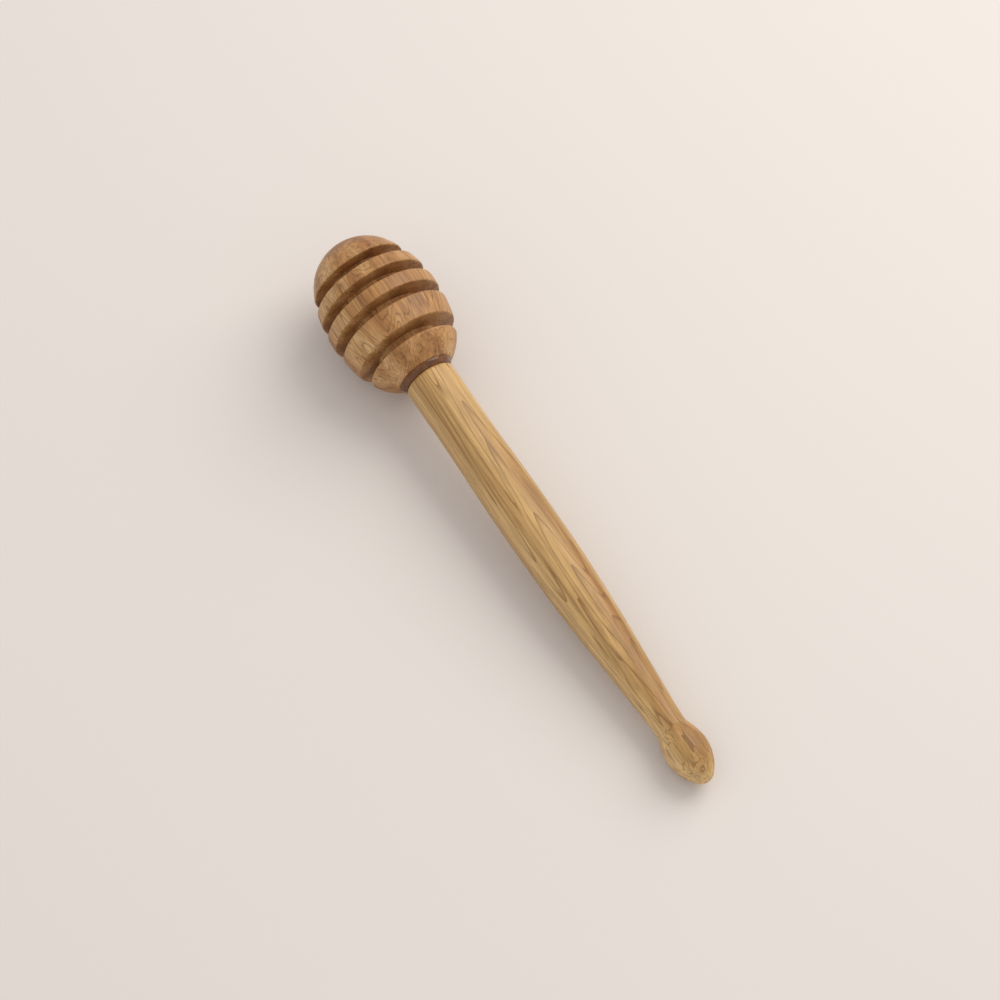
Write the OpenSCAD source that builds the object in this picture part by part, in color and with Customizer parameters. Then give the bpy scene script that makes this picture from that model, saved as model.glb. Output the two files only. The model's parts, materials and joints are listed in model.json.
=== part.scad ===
// Honey dipper in olive wood: a grooved, egg-shaped head glued onto a round handle that ends in a knob.
// It lies on its side, as it rests on a table. +X runs from the tip of the head to the knob, +Z is up,
// and the origin is on the table under the middle of the dipper. All sizes are in millimetres.
//
// Every piece is first drawn on the turning axis. A station is the distance along that axis from the tip
// of the head, and a profile is drawn as [radius, station]. lay_down() then sets it on the table.

/* [Overall] */
// Length along the turning axis, from the tip of the head to the end of the knob
total_l = 160; // [145:0.5:190]

/* [Head] */
// Diameter of the egg at its widest
head_d = 29.6; // [28.4:0.2:36]
// Length of the head, from its tip to the flat base that faces the handle
head_l = 39.6; // [38:0.2:46]
// Station of the widest circle
head_widest_at = 20.8; // [18:0.2:23]
// Radius of the rounding at the tip
head_tip_r = 12.8; // [10:0.1:14]
// Radius of the rounding at the base end
head_base_r = 13.7; // [10:0.1:14]
// Diameter of the flat base
head_base_d = 14.6; // [13.6:0.2:18]

/* [Grooves] */
// Length of the round cap in front of the first groove
cap_l = 9.4; // [8:0.1:10.4]
// Thickness of the first ring
ring_1_l = 3.6; // [2.6:0.1:4.4]
// Thickness of the second ring
ring_2_l = 3.6; // [2.6:0.1:4.4]
// Thickness of the third and widest ring
ring_3_l = 5.8; // [4.4:0.1:6.6]
// Width of every groove, cut with one parting tool
groove_w = 3; // [2.4:0.1:3.2]
// Depth of every groove under the surface of the egg
groove_depth = 5; // [3:0.1:6]
// Width of the sanded break on every sharp rim
rim_break = 0.35; // [0.1:0.05:0.6]

/* [Glued joint] */
// Diameter of the tenon on the handle
tenon_d = 8; // [6:0.1:9.4]
// Length of the tenon inside the head
tenon_l = 13; // [8:0.5:18]
// Thickness of the glue film round the tenon
glue_film = 0.15; // [0.1:0.01:0.3]
// Depth of the socket beyond the end of the tenon
socket_relief = 1.2; // [0.6:0.1:2]
// Gap between the base of the head and the shoulder of the handle, which the glue bead fills
joint_gap = 1.6; // [1:0.1:2.2]
// How far the glue bead stays inside the edge of the head's base
bead_setback = 0.2; // [0.1:0.05:0.6]
// Bulge of the glue bead over a straight cone
bead_bulge = 0.25; // [0.05:0.05:0.4]

/* [Handle] */
// Diameter of the handle at its shoulder and along its parallel stretch
handle_d = 12.5; // [11:0.1:13]
// Length of the parallel stretch next to the shoulder
parallel_l = 14; // [4:0.5:20]
// Diameter of the swell that fills the hand
swell_d = 13.3; // [13.2:0.1:16]
// Distance from the shoulder to the widest point of the swell
swell_at = 44; // [36:0.5:50]
// Radius of the long curve over the swell
swell_curve_r = 480; // [300:10:600]
// Radius of the hollow curve where the parallel stretch flares into the swell
flare_curve_r = 150; // [60:10:300]
// Diameter of the neck, where the handle is thinnest
neck_d = 7.7; // [6.8:0.1:9]
// Radius of the hollow curve that ends in the neck
neck_curve_r = 90; // [30:5:150]

/* [Knob] */
// Diameter of the knob at its widest
knob_d = 10.7; // [9.6:0.1:13]
// Length of the knob, from the crease at the neck to its end
knob_l = 14.7; // [13:0.1:18]
// Length of the flank that rises from the neck to the widest circle
knob_flank_l = 5.6; // [4.6:0.1:7]
// Radius of the rounded flank
knob_flank_r = 19; // [12:0.5:40]
// Radius of the rounding at the end of the knob
knob_end_r = 3; // [1.5:0.1:4]

/* [Hidden] */
$fn = 256;

// Radius of the long side arc of an egg. The arc is level at the widest circle, of radius r, and runs
// smoothly into an end rounding of radius end_r, whose pole is reach away from that circle.
function side_arc_r(r, reach, end_r) =
    (pow(reach - end_r, 2) + r * r - end_r * end_r) / (2 * (r - end_r));

// Distance from the widest circle to the place where the side arc meets the end rounding
function arcs_meet(r, reach, end_r) =
    let (side = side_arc_r(r, reach, end_r))
    (reach - end_r) * side / (side - end_r);

// Half chord of a circle: how far it reaches sideways at a distance along from its centre
function half_chord(r, along) = sqrt(r * r - along * along);

// Slope, in degrees, of the straight line that leaves a rounded crest and runs into a hollow curve.
// dx and dr go from the crest to the lowest point of the hollow.
function slope_between(dx, dr, crest_r, hollow_r) =
    atan2(dx, crest_r + hollow_r - dr) - acos((crest_r + hollow_r) / norm([dx, crest_r + hollow_r - dr]));

// Stations on the head
head_r = head_d / 2;
base_centre_at = head_l - half_chord(head_base_r, head_base_d / 2);
tip_reach = head_widest_at;
base_reach = base_centre_at + head_base_r - head_widest_at;
tip_side_r = side_arc_r(head_r, tip_reach, head_tip_r);
base_side_r = side_arc_r(head_r, base_reach, head_base_r);
tip_meets_at = head_widest_at - arcs_meet(head_r, tip_reach, head_tip_r);
base_meets_at = head_widest_at + arcs_meet(head_r, base_reach, head_base_r);
groove_starts = [
    cap_l,
    cap_l + ring_1_l + groove_w,
    cap_l + ring_1_l + ring_2_l + 2 * groove_w,
    cap_l + ring_1_l + ring_2_l + ring_3_l + 3 * groove_w
];

// Stations on the handle and its knob
shoulder_at = head_l + joint_gap;
handle_r = handle_d / 2;
parallel_end_at = shoulder_at + parallel_l;
swell_r = swell_d / 2;
swell_station = shoulder_at + swell_at;
crease_at = total_l - knob_l;
neck_r = neck_d / 2;
flare_slope = slope_between(swell_station - parallel_end_at, swell_r - handle_r, swell_curve_r, flare_curve_r);
taper_slope = slope_between(crease_at - swell_station, swell_r - neck_r, swell_curve_r, neck_curve_r);
knob_r = knob_d / 2;
knob_widest_at = crease_at + knob_flank_l;
knob_reach = total_l - knob_widest_at;
knob_side_r = side_arc_r(knob_r, knob_reach, knob_end_r);
knob_end_meets_at = knob_widest_at + arcs_meet(knob_r, knob_reach, knob_end_r);

// The joint
tenon_r = tenon_d / 2;
socket_r = tenon_r + glue_film;
bead_r = head_base_d / 2 - bead_setback;
tenon_end_at = head_l - tenon_l;

// How the dipper lies: one straight line, the table, touches the egg and the knob from below.
// lay_angle is its angle to the turning axis, and tip_height is the height of the axis at the tip.
crest_rise = (head_r - base_side_r) - (knob_r - knob_side_r);
crest_run = knob_widest_at - head_widest_at;
lay_angle = acos((knob_side_r - base_side_r) / norm([crest_rise, crest_run])) - atan2(crest_run, crest_rise);
tip_height = (knob_r - knob_side_r) * cos(lay_angle) + knob_widest_at * sin(lay_angle) + knob_side_r;
tip_end_x = head_tip_r * (cos(lay_angle) - 1);
knob_end_x = (total_l - knob_end_r) * cos(lay_angle) + knob_end_r;
tip_x = -(tip_end_x + knob_end_x) / 2;

// Radius of the uncut egg at a station
function egg_r(at) =
    at < tip_meets_at ? half_chord(head_tip_r, at - head_tip_r) :
    at < head_widest_at ? head_r - tip_side_r + half_chord(tip_side_r, at - head_widest_at) :
    at < base_meets_at ? head_r - base_side_r + half_chord(base_side_r, at - head_widest_at) :
    half_chord(head_base_r, at - base_centre_at);

// Slice of a profile under a straight line between two points, each [radius, station]. Slices that meet
// share the same end station, so they join into one profile.
module straight_slice(start, end) {
    polygon([[0, start[1]], start, end, [0, end[1]]]);
}

// Slice of a profile under a circle: crest is the circle's top, [radius, station]
module crest_slice(from, to, crest, r) {
    intersection() {
        straight_slice([crest[0] + r, from], [crest[0] + r, to]);
        translate([crest[0] - r, crest[1]]) circle(r);
    }
}

// Slice of a profile under a hollow curve: hollow is the lowest point of the curve, [radius, station]
module hollow_slice(from, to, hollow, r) {
    difference() {
        straight_slice([hollow[0] + r, from], [hollow[0] + r, to]);
        translate([hollow[0] + r, hollow[1]]) circle(r);
    }
}

// The egg before its grooves are cut: a rounding at each end and a long side arc on each side of the
// widest circle, all running smoothly into each other
module egg_profile() {
    crest_slice(0, tip_meets_at, [head_tip_r, head_tip_r], head_tip_r);
    crest_slice(tip_meets_at, head_widest_at, [head_r, head_widest_at], tip_side_r);
    crest_slice(head_widest_at, base_meets_at, [head_r, head_widest_at], base_side_r);
    crest_slice(base_meets_at, head_l, [head_base_r, base_centre_at], head_base_r);
}

// What one plunge of the parting tool takes away, with both rims broken
module groove_profile(start) {
    end = start + groove_w;
    floor_r = egg_r(start + groove_w / 2) - groove_depth;
    start_r = egg_r(start);
    end_r = egg_r(end);
    clear = head_r;
    polygon([
        [floor_r, start],
        [start_r - rim_break, start],
        [start_r + clear, start - rim_break - clear],
        [end_r + clear, end + rim_break + clear],
        [end_r - rim_break, end],
        [floor_r, end]
    ]);
}

// Blind socket for the tenon
module socket_profile() {
    straight_slice([socket_r, tenon_end_at - socket_relief], [socket_r, shoulder_at]);
}

module dipper_head() {
    color("#b98750")
    rotate_extrude()
    difference() {
        egg_profile();
        for (start = groove_starts) groove_profile(start);
        socket_profile();
    }
}

// The tenon, with a broken end that guides it into the socket
module tenon_profile() {
    straight_slice([tenon_r - rim_break, tenon_end_at], [tenon_r, tenon_end_at + rim_break]);
    straight_slice([tenon_r, tenon_end_at + rim_break], [tenon_r, shoulder_at]);
}

// The grip: a broken shoulder rim, the parallel stretch, a flare, the swell, and a long taper to the neck
module grip_profile() {
    flare_end = [handle_r + flare_curve_r * (1 - cos(flare_slope)), parallel_end_at + flare_curve_r * sin(flare_slope)];
    swell_start = [swell_r - swell_curve_r * (1 - cos(flare_slope)), swell_station - swell_curve_r * sin(flare_slope)];
    swell_end = [swell_r - swell_curve_r * (1 - cos(taper_slope)), swell_station + swell_curve_r * sin(taper_slope)];
    taper_end = [neck_r + neck_curve_r * (1 - cos(taper_slope)), crease_at - neck_curve_r * sin(taper_slope)];
    straight_slice([handle_r - rim_break, shoulder_at], [handle_r, shoulder_at + rim_break]);
    straight_slice([handle_r, shoulder_at + rim_break], [handle_r, parallel_end_at]);
    hollow_slice(parallel_end_at, flare_end[1], [handle_r, parallel_end_at], flare_curve_r);
    straight_slice(flare_end, swell_start);
    crest_slice(swell_start[1], swell_end[1], [swell_r, swell_station], swell_curve_r);
    straight_slice(swell_end, taper_end);
    hollow_slice(taper_end[1], crease_at, [neck_r, crease_at], neck_curve_r);
}

// The knob: a rounded flank up from the crease, then a long side arc and a rounding at the end
module knob_profile() {
    chord = norm([knob_r - neck_r, knob_flank_l]);
    chord_slope = atan2(knob_r - neck_r, knob_flank_l);
    sink = half_chord(knob_flank_r, chord / 2);
    crest = [
        (neck_r + knob_r) / 2 - sink * cos(chord_slope) + knob_flank_r,
        crease_at + knob_flank_l / 2 + sink * sin(chord_slope)
    ];
    crest_slice(crease_at, knob_widest_at, crest, knob_flank_r);
    crest_slice(knob_widest_at, knob_end_meets_at, [knob_r, knob_widest_at], knob_side_r);
    crest_slice(knob_end_meets_at, total_l, [knob_end_r, total_l - knob_end_r], knob_end_r);
}

module handle() {
    color("#c39a5f")
    rotate_extrude() {
        tenon_profile();
        grip_profile();
        knob_profile();
    }
}

// The glue bead squeezed out between head and handle, as a slice under a circle that bulges over the
// straight line from the edge of the head's base to the edge of the handle's shoulder
module bead_profile() {
    base_edge = [bead_r, head_l];
    shoulder_edge = [handle_r - rim_break, shoulder_at];
    slant = norm(base_edge - shoulder_edge);
    slant_angle = atan2(bead_r - handle_r + rim_break, joint_gap);
    bulge_r = (slant * slant / 4 + bead_bulge * bead_bulge) / (2 * bead_bulge);
    sink = bulge_r - bead_bulge;
    middle = (base_edge + shoulder_edge) / 2;
    crest = [middle[0] - sink * cos(slant_angle) + bulge_r, middle[1] - sink * sin(slant_angle)];
    crest_slice(head_l, shoulder_at, crest, bulge_r);
}

// Cured glue: the film that fills the socket round the tenon, and the bead outside it
module joint_glue() {
    color("#5a3217")
    rotate_extrude()
    difference() {
        union() {
            straight_slice([socket_r, tenon_end_at], [socket_r, head_l]);
            bead_profile();
        }
        straight_slice([tenon_r, tenon_end_at - tenon_l], [tenon_r, shoulder_at + tenon_l]);
    }
}

// Sets a piece that was drawn on the turning axis down on the table
module lay_down() {
    translate([tip_x, 0, tip_height]) rotate([0, 90 + lay_angle, 0]) children();
}

lay_down() dipper_head();
lay_down() handle();
lay_down() joint_glue();
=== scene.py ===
import json
import math

import bpy
import numpy as np
from mathutils import Matrix, Vector, noise


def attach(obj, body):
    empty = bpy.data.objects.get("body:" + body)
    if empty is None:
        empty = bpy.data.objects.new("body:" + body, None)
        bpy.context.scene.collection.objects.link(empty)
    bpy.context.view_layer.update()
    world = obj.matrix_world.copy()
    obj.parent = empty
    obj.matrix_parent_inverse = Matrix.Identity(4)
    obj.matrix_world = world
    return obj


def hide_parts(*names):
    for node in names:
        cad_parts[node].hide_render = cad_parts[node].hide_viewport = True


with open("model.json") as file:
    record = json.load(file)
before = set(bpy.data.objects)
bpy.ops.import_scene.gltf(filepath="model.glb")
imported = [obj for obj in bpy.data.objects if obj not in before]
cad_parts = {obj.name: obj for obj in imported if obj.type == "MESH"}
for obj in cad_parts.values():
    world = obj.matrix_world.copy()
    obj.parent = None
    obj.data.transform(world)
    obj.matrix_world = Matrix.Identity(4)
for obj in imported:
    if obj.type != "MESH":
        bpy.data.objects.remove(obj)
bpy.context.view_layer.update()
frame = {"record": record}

# The turning axis. Head and handle were turned on a lathe, so every profile is written as
# (station, radius) in millimetres: a station is the distance along the axis from the tip of the head.
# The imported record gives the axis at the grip, and the tip lies GRIP_STATION before that point.
MM = 0.001
GRIP_STATION = 85.6
grip = next(mount for mount in frame["record"]["mounts"] if mount["name"] == "handle_grip")
along = Vector(grip["axis"]).normalized()
across = Vector((0, 1, 0))
upward = along.cross(across)
tip = Vector(grip["pos_m"]) - along * GRIP_STATION * MM
axes = Matrix((along, across, upward))


# The camera looks down on the dipper from 0.7 m, through a long lens, and from the handle's side.
# The frame is square.
CAMERA_AZIMUTH = 57.214
CAMERA_ELEVATION = 63.308
CAMERA_PLACE = (0.26309, -0.17423, 0.64103)
SENSOR_WIDTH = 36.0
FOCAL_IN_FRAME_WIDTHS = 3.0

camera_data = bpy.data.cameras.new("camera")
camera_data.sensor_width = SENSOR_WIDTH
camera_data.lens = FOCAL_IN_FRAME_WIDTHS * SENSOR_WIDTH
camera = bpy.data.objects.new("camera", camera_data)
camera.location = CAMERA_PLACE
camera.rotation_euler = (math.radians(90 - CAMERA_ELEVATION), 0, math.radians(CAMERA_AZIMUTH))
bpy.context.collection.objects.link(camera)
bpy.context.scene.camera = camera
bpy.context.scene.view_settings.view_transform = "Standard"


# One large soft window stands on the far side of the handle, and a pale room fills the shadows.
# The window is a little warm and the room is neutral.
WINDOW_POWER = 4.6
WINDOW_SIZE = 0.75
WINDOW_PLACE = Vector((-0.12, 0.62, 0.62))
ROOM_STRENGTH = 0.78


def linear(hex_colour):
    """Turns an sRGB colour such as "#b98750" into the linear colour that a shader takes."""
    channels = [int(hex_colour[i:i + 2], 16) / 255 for i in (1, 3, 5)]
    return [c / 12.92 if c <= 0.04045 else ((c + 0.055) / 1.055) ** 2.4 for c in channels] + [1.0]


window_data = bpy.data.lights.new("window", "AREA")
window_data.size = WINDOW_SIZE
window_data.energy = WINDOW_POWER
window_data.color = linear("#fffaf2")[:3]
window = bpy.data.objects.new("window", window_data)
window.location = WINDOW_PLACE
window.rotation_euler = (-WINDOW_PLACE).to_track_quat("-Z", "Y").to_euler()
bpy.context.collection.objects.link(window)

world = bpy.data.worlds.new("room")
bpy.context.scene.world = world
world.use_nodes = True
world.node_tree.nodes["Background"].inputs["Color"].default_value = linear("#f2f0ee")
world.node_tree.nodes["Background"].inputs["Strength"].default_value = ROOM_STRENGTH


# The table is pale plaster, plain and matt, so it shows the dipper's soft shadow and nothing else.
# It is as large as the light needs.
TABLE_HALF = 1.5
TABLE_CORNERS = ((-1, -1), (1, -1), (1, 1), (-1, 1))
PLASTER_ROUGHNESS = 0.95

table_mesh = bpy.data.meshes.new("table")
table_mesh.from_pydata([(TABLE_HALF * x, TABLE_HALF * y, 0) for x, y in TABLE_CORNERS], [], [(0, 1, 2, 3)])
table = bpy.data.objects.new("table", table_mesh)
bpy.context.collection.objects.link(table)
plaster = bpy.data.materials.new("matt_plaster")
plaster.use_nodes = True
plaster.node_tree.nodes["Principled BSDF"].inputs["Base Color"].default_value = linear("#e5dfdb")
plaster.node_tree.nodes["Principled BSDF"].inputs["Roughness"].default_value = PLASTER_ROUGHNESS
table_mesh.materials.append(plaster)


# The head is one turned egg of olive wood. Four plunges of a parting tool leave a cap, three rings and
# a base lobe, and the rims between them were broken with sandpaper by hand, so they aren't even.
HEAD_R = 14.8
HEAD_L = 39.6
HEAD_WIDEST = 20.8
TIP_R = 12.8
BASE_R = 13.7
BASE_FLAT_R = 7.3
BASE_EDGE = 0.2
SOCKET_R = 4.2
GROOVES = (9.4, 16.0, 22.6, 31.4)
GROOVE_W = 3.0
GROOVE_DEPTH = 5.0
RIM = 0.35
RIM_TURN_STEP = 15
PROFILE_STEP = 0.3
POLE_L = 0.6
POLE_STEP_SHARE = 0.15
EDGE_GAP = 0.05
HEAD_SIDES = 320


def half_chord(r, away):
    """How far a circle reaches sideways at a distance from its centre."""
    return math.sqrt(max(r * r - away * away, 0))


def side_arc(r, reach, end_r):
    """Radius of an egg's side arc, and how far from the widest circle it meets the end rounding."""
    side = ((reach - end_r) ** 2 + r * r - end_r * end_r) / (2 * (r - end_r))
    return side, (reach - end_r) * side / (side - end_r)


base_centre = HEAD_L - half_chord(BASE_R, BASE_FLAT_R)
tip_side, tip_meets = side_arc(HEAD_R, HEAD_WIDEST, TIP_R)
base_side, base_meets = side_arc(HEAD_R, base_centre + BASE_R - HEAD_WIDEST, BASE_R)


def egg_r(station):
    """Radius of the egg before its grooves are cut."""
    if station < HEAD_WIDEST - tip_meets:
        return half_chord(TIP_R, station - TIP_R)
    if station < HEAD_WIDEST:
        return HEAD_R - tip_side + half_chord(tip_side, station - HEAD_WIDEST)
    if station < HEAD_WIDEST + base_meets:
        return HEAD_R - base_side + half_chord(base_side, station - HEAD_WIDEST)
    return half_chord(BASE_R, station - base_centre)


def line_points(start, end, step=PROFILE_STEP):
    """Points on a straight line from start up to, but without, end."""
    count = max(int(math.dist(start, end) / step), 1)
    run = end[0] - start[0]
    rise = end[1] - start[1]
    return [(start[0] + run * k / count, start[1] + rise * k / count) for k in range(count)]


def rim_points(station, facing):
    """The sanded break at a rim: facing is 1 where the groove lies after the rim and -1 where before."""
    r = egg_r(station - facing * RIM)
    turn = [math.radians(degrees) for degrees in range(0, 91, RIM_TURN_STEP)]
    points = [(station - facing * RIM * (1 - math.sin(t)), r - RIM * (1 - math.cos(t))) for t in turn]
    return points if facing > 0 else points[::-1]


def head_profile():
    """From the tip over the cap, the grooves and the rings to the edge of the socket."""
    cap = [0.0]
    while cap[-1] < GROOVES[0] - RIM - PROFILE_STEP:
        cap.append(cap[-1] + PROFILE_STEP * (POLE_STEP_SHARE if cap[-1] < POLE_L else 1.0))
    points = [(station, egg_r(station)) for station in cap]
    for start, following in zip(GROOVES, (*GROOVES[1:], HEAD_L)):
        end = start + GROOVE_W
        floor_r = egg_r(start + GROOVE_W / 2) - GROOVE_DEPTH
        points += rim_points(start, 1)
        points += line_points((start, egg_r(start) - 2 * RIM), (start, floor_r))
        points += line_points((start, floor_r), (end, floor_r))
        points += line_points((end, floor_r), (end, egg_r(end) - 2 * RIM))
        points += rim_points(end, -1)
        first = end + RIM
        last = following - RIM if following != HEAD_L else HEAD_L - EDGE_GAP
        count = int((last - first) / PROFILE_STEP)
        lobe = [first + (last - first) * k / count for k in range(1, count)]
        points += [(station, egg_r(station)) for station in lobe]
    base = line_points((HEAD_L, BASE_FLAT_R - BASE_EDGE), (HEAD_L, SOCKET_R))
    return points + [(HEAD_L, BASE_FLAT_R)] + base


def turned_piece(name, profile, sides, hand_marks):
    """Turns a profile round the axis and closes both its ends. hand_marks(station, radius, angle) gives a
    small change of radius."""
    places = []
    for station, radius in profile:
        for angle in np.linspace(0, 2 * math.pi, sides, endpoint=False):
            r = max(radius + hand_marks(station, radius, angle), 0.0)
            places.append((station, r * math.cos(angle), r * math.sin(angle)))
    world_places = np.array(tip) + (np.array(places) * MM) @ np.array(axes)
    faces = []
    for row in range(len(profile) - 1):
        low = row * sides
        high = low + sides
        for k in range(sides):
            after = (k + 1) % sides
            faces.append((low + k, low + after, high + after, high + k))
    faces.append(tuple(range(sides))[::-1])
    faces.append(tuple((len(profile) - 1) * sides + k for k in range(sides)))
    mesh = bpy.data.meshes.new(name)
    mesh.from_pydata(world_places.tolist(), [], faces)
    mesh.polygons.foreach_set("use_smooth", [True] * len(mesh.polygons))
    mesh.update()
    piece = bpy.data.objects.new(name, mesh)
    bpy.context.collection.objects.link(piece)
    return piece


def wave_place(station, angle, waves_per_mm, waves_round):
    """A place in smooth noise, so that the noise closes on itself round the piece."""
    return Vector((station * waves_per_mm, math.cos(angle) * waves_round, math.sin(angle) * waves_round))


def sanded_by_hand(waves_per_mm, waves_round, uneven, finer, sanded, full_r):
    """The marks of turning and sanding by hand: slow waves of uneven mm, and others of sanded mm that are
    so many times finer. Both fade out on radii under full_r, towards the pole."""
    def marks(station, radius, angle):
        where = wave_place(station, angle, waves_per_mm, waves_round)
        slow = noise.noise(where) * uneven
        fine = noise.noise(where * finer) * sanded
        return (slow + fine) * min(radius / full_r, 1)
    return marks


head_marks = sanded_by_hand(waves_per_mm=0.25, waves_round=2.2, uneven=0.10, finer=5.0, sanded=0.03, full_r=6)
head = turned_piece("turned_head", head_profile(), HEAD_SIDES, head_marks)
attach(head, "root")
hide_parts("dipper_head")

# The wood of both turned pieces is olive wood, sanded and oiled: honey-tan and satin, with fine dark
# growth lines that run along the piece. Each scale is a number per mm, across the grain: the tones change
# every 5.5 mm or so, the streaks every 0.8 mm, and all of them are 20 times longer along the grain.
GRAIN_SQUEEZE = 0.05
TONES_PER_MM = 0.18
STREAKS_PER_MM = 1.3
GROWTH_PER_MM = 0.11
GROWTH_LINES = 26.0
LATE_WOOD_FROM = 0.72
LATE_WOOD_STRENGTH = 0.65
FIBRE_RELIEF = 0.2
WOOD_ROUGHNESS = 0.42
WOOD_IOR = 1.48


def add_node(tree, kind, settings=None, **inputs):
    """Adds one node with its settings. Each input is a value, or an output socket to link from. It goes by
    the socket's name, or by its number after the letter i."""
    node = tree.nodes.new(kind)
    for key, value in (settings or {}).items():
        setattr(node, key, value)
    for key, value in inputs.items():
        numbered = key[0] == "i" and key[1:].isdigit()
        socket = node.inputs[int(key[1:]) if numbered else key.replace("_", " ")]
        if isinstance(value, bpy.types.NodeSocket):
            tree.links.new(value, socket)
        else:
            socket.default_value = value
    return node


def olive_wood(name, pale, middle, dark, line):
    """Oiled olive wood from its pale, middle and dark tones and the colour of its growth lines."""
    material = bpy.data.materials.new(name)
    material.use_nodes = True
    tree = material.node_tree
    surface = tree.nodes["Principled BSDF"]
    coordinates = add_node(tree, "ShaderNodeTexCoord")
    turned = add_node(tree, "ShaderNodeMapping", Vector=coordinates.outputs["Object"],
                      Scale=(1 / MM, 1 / MM, 1 / MM), Rotation=axes.to_euler(), Location=-(axes @ tip) / MM)
    grain = add_node(tree, "ShaderNodeMapping", Vector=turned.outputs[0], Scale=(GRAIN_SQUEEZE, 1.0, 1.0))

    broad = add_node(tree, "ShaderNodeTexNoise", Vector=grain.outputs[0], Scale=TONES_PER_MM, Detail=3.0)
    tone = add_node(tree, "ShaderNodeValToRGB", Fac=broad.outputs["Fac"])
    tone.color_ramp.elements[0].position = 0.32
    tone.color_ramp.elements[0].color = linear(dark)
    tone.color_ramp.elements[1].position = 0.68
    tone.color_ramp.elements[1].color = linear(pale)
    tone.color_ramp.elements.new(0.5).color = linear(middle)

    streak = add_node(tree, "ShaderNodeTexNoise", Vector=grain.outputs[0], Scale=STREAKS_PER_MM,
                      Detail=6.0, Roughness=0.7)
    streak_tone = add_node(tree, "ShaderNodeMapRange", Value=streak.outputs["Fac"],
                           From_Min=0.38, From_Max=0.62, To_Min=0.72, To_Max=1.12)
    shaded = add_node(tree, "ShaderNodeVectorMath", {"operation": "SCALE"}, i0=tone.outputs["Color"],
                      Scale=streak_tone.outputs[0])

    growth = add_node(tree, "ShaderNodeTexNoise", Vector=grain.outputs[0], Scale=GROWTH_PER_MM,
                      Detail=2.0, Distortion=0.4)
    years = add_node(tree, "ShaderNodeMath", {"operation": "MULTIPLY"}, i0=growth.outputs["Fac"],
                     i1=GROWTH_LINES)
    season = add_node(tree, "ShaderNodeMath", {"operation": "FRACT"}, i0=years.outputs[0])
    late_wood = add_node(tree, "ShaderNodeMapRange", Value=season.outputs[0], From_Min=LATE_WOOD_FROM,
                         From_Max=1.0, To_Min=0.0, To_Max=LATE_WOOD_STRENGTH)
    lined = add_node(tree, "ShaderNodeMix", {"data_type": "RGBA"}, i0=late_wood.outputs[0],
                     i6=shaded.outputs[0], i7=linear(line))
    tree.links.new(lined.outputs[2], surface.inputs["Base Color"])

    relief = add_node(tree, "ShaderNodeBump", Strength=0.25, Distance=FIBRE_RELIEF * MM,
                      Height=streak.outputs["Fac"])
    tree.links.new(relief.outputs[0], surface.inputs["Normal"])
    surface.inputs["Roughness"].default_value = WOOD_ROUGHNESS
    surface.inputs["IOR"].default_value = WOOD_IOR
    return material


head.data.materials.append(olive_wood("olive_wood_head", "#d3a873", "#b98750", "#94602f", "#5a3317"))


# The handle is one turned piece of olive wood: a parallel stretch next to the head, a swell that fills
# the hand, a long taper to the neck, and a knob. It was sanded by hand along its length. Its tenon is
# hidden in the head, so this mesh starts at the shoulder.
HANDLE_R = 6.25
SHOULDER = 41.2
SHOULDER_FACE_R = 3.9
PARALLEL_END = 55.2
SWELL_R = 6.65
SWELL_AT = 85.6
SWELL_CURVE = 480.0
FLARE_CURVE = 150.0
NECK_R = 3.85
CREASE = 145.3
NECK_CURVE = 90.0
KNOB_R = 5.35
KNOB_WIDEST = 150.9
KNOB_END = 160.0
KNOB_END_R = 3.0
FLANK_R = 19.0
HAIR = 1e-6
GRIP_STEP = 0.5
KNOB_STEP = 0.2
KNOB_POLE_L = 0.6
KNOB_TURN_STEP = 9
HANDLE_SIDES = 200


def slope_between(dx, dr, crest_r, hollow_r):
    """Slope of the straight line from a rounded crest into a hollow curve, dx further and dr lower."""
    reach = crest_r + hollow_r
    return math.atan2(dx, reach - dr) - math.acos(reach / math.hypot(dx, reach - dr))


flare_slope = slope_between(SWELL_AT - PARALLEL_END, SWELL_R - HANDLE_R, SWELL_CURVE, FLARE_CURVE)
taper_slope = slope_between(CREASE - SWELL_AT, SWELL_R - NECK_R, SWELL_CURVE, NECK_CURVE)
flare_end = PARALLEL_END + FLARE_CURVE * math.sin(flare_slope)
swell_start = SWELL_AT - SWELL_CURVE * math.sin(flare_slope)
swell_end = SWELL_AT + SWELL_CURVE * math.sin(taper_slope)
taper_end = CREASE - NECK_CURVE * math.sin(taper_slope)
knob_side, knob_meets = side_arc(KNOB_R, KNOB_END - KNOB_WIDEST, KNOB_END_R)
flank_chord = math.hypot(KNOB_R - NECK_R, KNOB_WIDEST - CREASE)
flank_slant = math.atan2(KNOB_R - NECK_R, KNOB_WIDEST - CREASE)
flank_sink = half_chord(FLANK_R, flank_chord / 2)
flank_centre_r = (NECK_R + KNOB_R) / 2 - flank_sink * math.cos(flank_slant)
flank_centre_at = (CREASE + KNOB_WIDEST) / 2 + flank_sink * math.sin(flank_slant)


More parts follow.
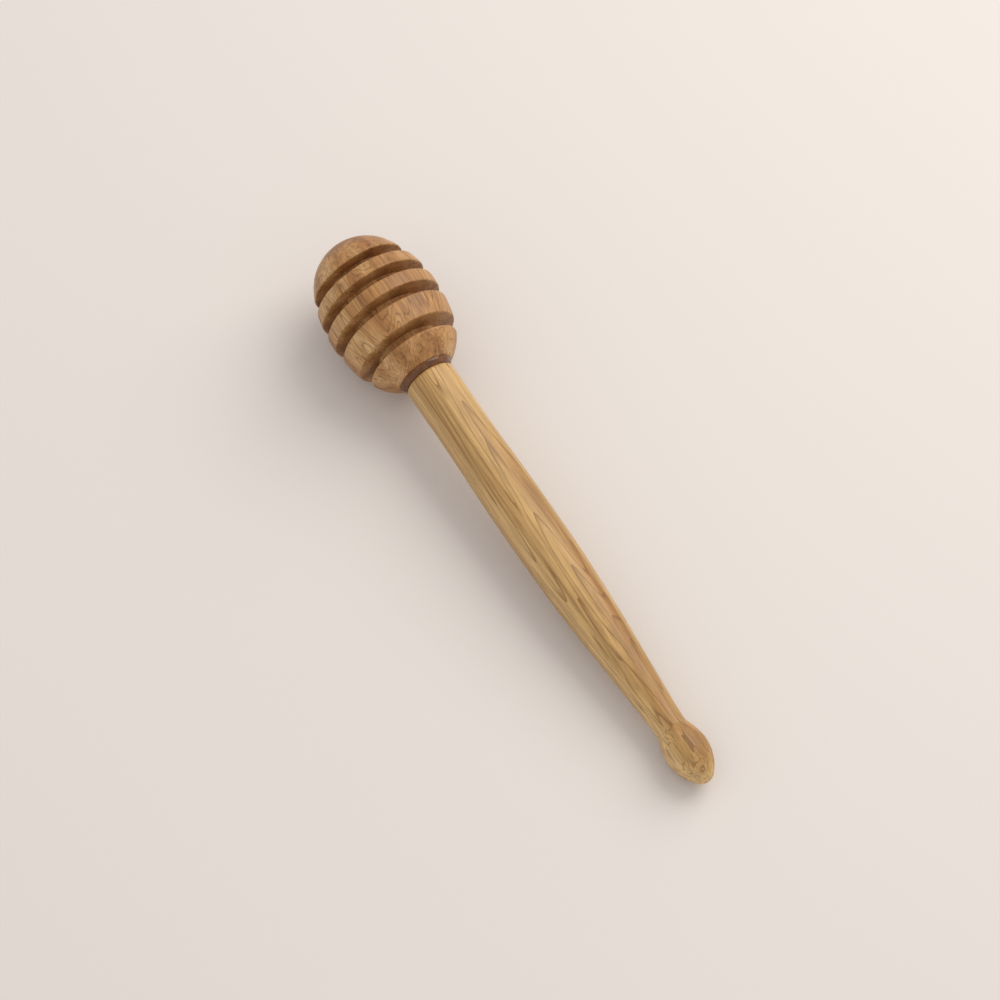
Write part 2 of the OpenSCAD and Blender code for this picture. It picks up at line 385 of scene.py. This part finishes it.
def handle_r(station):
    """Radius of the handle and its knob."""
    if station < PARALLEL_END:
        return HANDLE_R
    if station < flare_end:
        return HANDLE_R + FLARE_CURVE - half_chord(FLARE_CURVE, station - PARALLEL_END)
    if station < swell_start:
        return handle_r(flare_end - HAIR) + math.tan(flare_slope) * (station - flare_end)
    if station < swell_end:
        return SWELL_R - SWELL_CURVE + half_chord(SWELL_CURVE, station - SWELL_AT)
    if station < taper_end:
        return handle_r(swell_end - HAIR) - math.tan(taper_slope) * (station - swell_end)
    if station < CREASE:
        return NECK_R + NECK_CURVE - half_chord(NECK_CURVE, station - CREASE)
    if station < KNOB_WIDEST:
        return flank_centre_r + half_chord(FLANK_R, station - flank_centre_at)
    if station < KNOB_WIDEST + knob_meets:
        return KNOB_R - knob_side + half_chord(knob_side, station - KNOB_WIDEST)
    return half_chord(KNOB_END_R, station - (KNOB_END - KNOB_END_R))


def handle_profile():
    """From the shoulder's face over the grip and the knob to the knob's end."""
    face = line_points((SHOULDER, SHOULDER_FACE_R), (SHOULDER, HANDLE_R - RIM))
    stations = list(np.arange(SHOULDER + RIM, CREASE - EDGE_GAP, GRIP_STEP))
    stations += list(np.arange(CREASE, KNOB_END - KNOB_POLE_L, KNOB_STEP))
    pole_turns = [math.radians(degrees) for degrees in range(0, 90, KNOB_TURN_STEP)]
    stations += [KNOB_END - KNOB_POLE_L * (1 - math.sin(turn)) for turn in pole_turns]
    return face + [(SHOULDER, HANDLE_R - RIM)] + [(station, handle_r(station)) for station in stations]


handle_marks = sanded_by_hand(
    waves_per_mm=0.05, waves_round=0.9, uneven=0.12, finer=4.0, sanded=0.025, full_r=3)
handle = turned_piece("turned_handle", handle_profile(), HANDLE_SIDES, handle_marks)
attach(handle, "root")
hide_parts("handle")
handle.data.materials.append(olive_wood("olive_wood_handle", "#dcb67c", "#c39a5f", "#a3743c", "#6b3f1c"))


# The glue is brown wood glue that was squeezed out as the tenon went home and set where it stood:
# a lumpy ring that fills the gap, glossy as a boiled sweet. Its brown clots are about 1.4 mm wide.
BEAD_INNER_R = 5.0
BEAD_START_R = 7.1
BEAD_SIDES = 160
BEAD_ROWS = 10
BEAD_STEP = 0.4
BEAD_BULGE = 0.25
BEAD_WAVES_PER_MM = 1.1
BEAD_WAVES_ROUND = 4.0
BEAD_LUMPS = 0.22
CLOTS_PER_M = 700.0
GLUE_ROUGHNESS = 0.22


def bead_profile():
    """Up the foot of the head, over the bulge to the shoulder, and down the shoulder."""
    foot = line_points((HEAD_L, BEAD_INNER_R), (HEAD_L, BEAD_START_R), BEAD_STEP)
    shoulder = line_points((SHOULDER, HANDLE_R - 2 * RIM), (SHOULDER, SOCKET_R), BEAD_STEP)
    outside = []
    for row in range(BEAD_ROWS + 1):
        t = row / BEAD_ROWS
        bulge = 4 * BEAD_BULGE * t * (1 - t)
        station = HEAD_L + (SHOULDER - HEAD_L) * t
        outside.append((station, BEAD_START_R + (HANDLE_R - RIM - BEAD_START_R) * t + bulge))
    return [(HEAD_L, SOCKET_R)] + foot + outside + shoulder


def bead_marks(station, radius, angle):
    """The lumps of the glue, which grow over the first mm outside the joint."""
    outside = max(min(radius - BEAD_INNER_R, 1), 0)
    return noise.noise(wave_place(station, angle, BEAD_WAVES_PER_MM, BEAD_WAVES_ROUND)) * BEAD_LUMPS * outside


bead = turned_piece("glue_bead", bead_profile(), BEAD_SIDES, bead_marks)
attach(bead, "root")
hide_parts("joint_glue")

glue = bpy.data.materials.new("set_brown_glue")
glue.use_nodes = True
glue_tree = glue.node_tree
glue_surface = glue_tree.nodes["Principled BSDF"]
glue_spot = add_node(glue_tree, "ShaderNodeTexCoord")
clots = add_node(glue_tree, "ShaderNodeTexNoise", Vector=glue_spot.outputs["Object"], Scale=CLOTS_PER_M)
stain = add_node(glue_tree, "ShaderNodeValToRGB", Fac=clots.outputs["Fac"])
stain.color_ramp.elements[0].color = linear("#2c150a")
stain.color_ramp.elements[1].color = linear("#8a5426")
glue_tree.links.new(stain.outputs["Color"], glue_surface.inputs["Base Color"])
glue_surface.inputs["Roughness"].default_value = GLUE_ROUGHNESS
bead.data.materials.append(glue)
